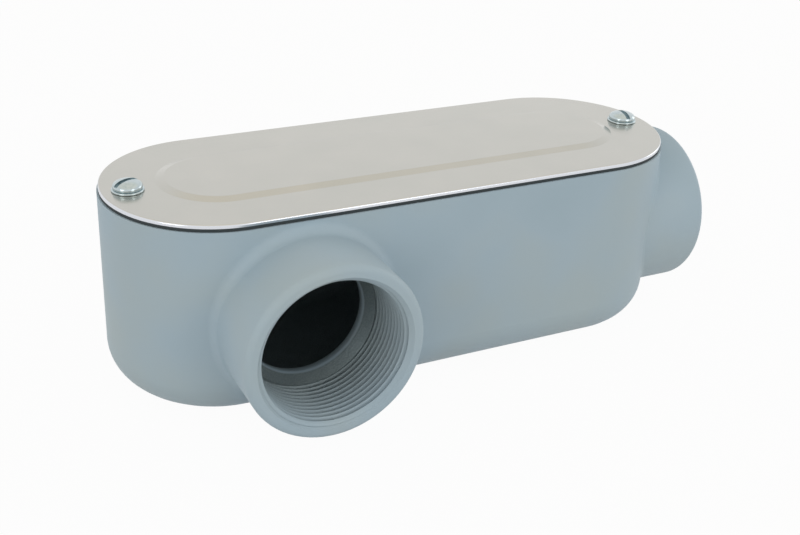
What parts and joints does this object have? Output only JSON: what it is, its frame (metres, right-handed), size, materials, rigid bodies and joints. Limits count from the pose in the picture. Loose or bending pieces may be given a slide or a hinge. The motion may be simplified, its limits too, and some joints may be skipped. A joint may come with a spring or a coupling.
{
  "type": "conduit body",
  "caption": "Round-ended cast conduit body with one threaded hub on its end and one on its side, closed by a stamped gasketed cover.",
  "frame": {"origin": "centre of the trough's flat bottom, midway between its two rounded ends", "axes": "+X runs along the trough to the end hub, the side hub faces -Y, +Z points out of the cover"},
  "size_m": [0.3169, 0.143, 0.1059],
  "materials": {
    "grey_coated_casting": "satin blue-grey baked coat on cast aluminium",
    "black_neoprene": "matt black sheet",
    "satin_aluminium_sheet": "satin rolled sheet",
    "zinc_plated_steel": "bright zinc plate"
  },
  "bodies": {
    "root": {"body_casting": "grey_coated_casting", "cover_gasket": "black_neoprene", "cover": "satin_aluminium_sheet", "cover_screw_closed_end": "zinc_plated_steel", "cover_screw_hub_end": "zinc_plated_steel"}
  },
  "joints": []
}
